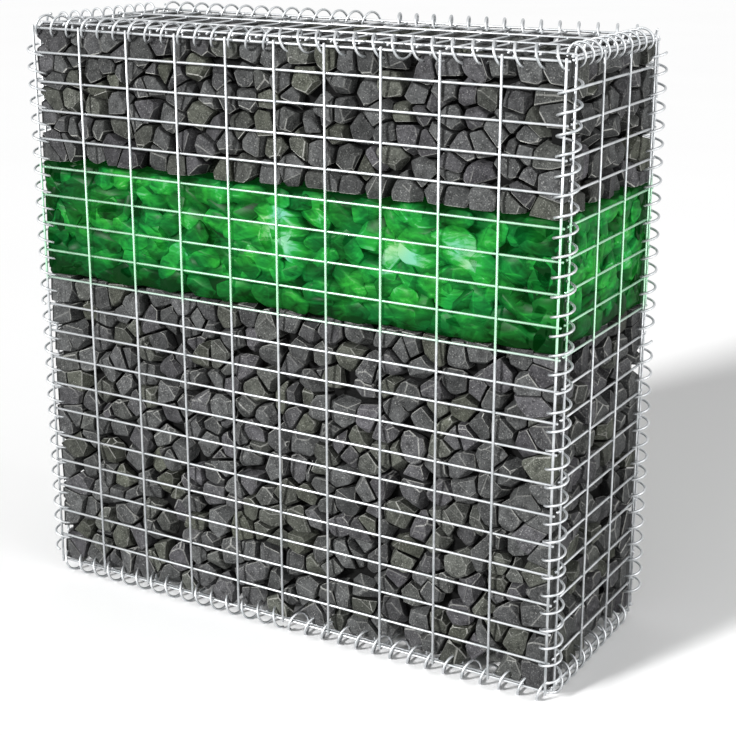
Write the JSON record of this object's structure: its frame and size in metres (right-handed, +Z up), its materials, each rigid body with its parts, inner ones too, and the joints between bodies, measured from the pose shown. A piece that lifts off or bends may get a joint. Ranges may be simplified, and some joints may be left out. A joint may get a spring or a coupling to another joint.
{
  "type": "gabion wall",
  "caption": "Free-standing welded-mesh gabion wall bound with coiled wire, filled with broken grey stone and a band of green slag glass.",
  "frame": {"origin": "middle of the footprint, on the ground", "axes": "+X along the length, +Y from front to back, +Z up"},
  "size_m": [1.0366, 0.3814, 1.0384],
  "materials": {
    "galvanised_wire": "satin",
    "broken_stone": "matte",
    "slag_glass": "gloss"
  },
  "bodies": {
    "root": {"front_mesh": "galvanised_wire", "back_mesh": "galvanised_wire", "left_end_mesh": "galvanised_wire", "right_end_mesh": "galvanised_wire", "lid_mesh": "galvanised_wire", "base_mesh": "galvanised_wire", "front_left_coil_lower": "galvanised_wire", "front_left_coil_upper": "galvanised_wire", "front_right_coil_lower": "galvanised_wire", "front_right_coil_upper": "galvanised_wire", "back_left_coil_lower": "galvanised_wire", "back_left_coil_upper": "galvanised_wire", "back_right_coil_lower": "galvanised_wire", "back_right_coil_upper": "galvanised_wire", "base_front_coil_left": "galvanised_wire", "base_front_coil_right": "galvanised_wire", "base_back_coil_left": "galvanised_wire", "base_back_coil_right": "galvanised_wire", "top_front_coil_left": "galvanised_wire", "top_front_coil_right": "galvanised_wire", "top_back_coil_left": "galvanised_wire", "top_back_coil_right": "galvanised_wire", "base_left_coil": "galvanised_wire", "base_right_coil": "galvanised_wire", "top_left_coil": "galvanised_wire", "top_right_coil": "galvanised_wire", "lower_stone": "broken_stone", "glass_band": "slag_glass", "upper_stone": "broken_stone"}
  },
  "joints": []
}
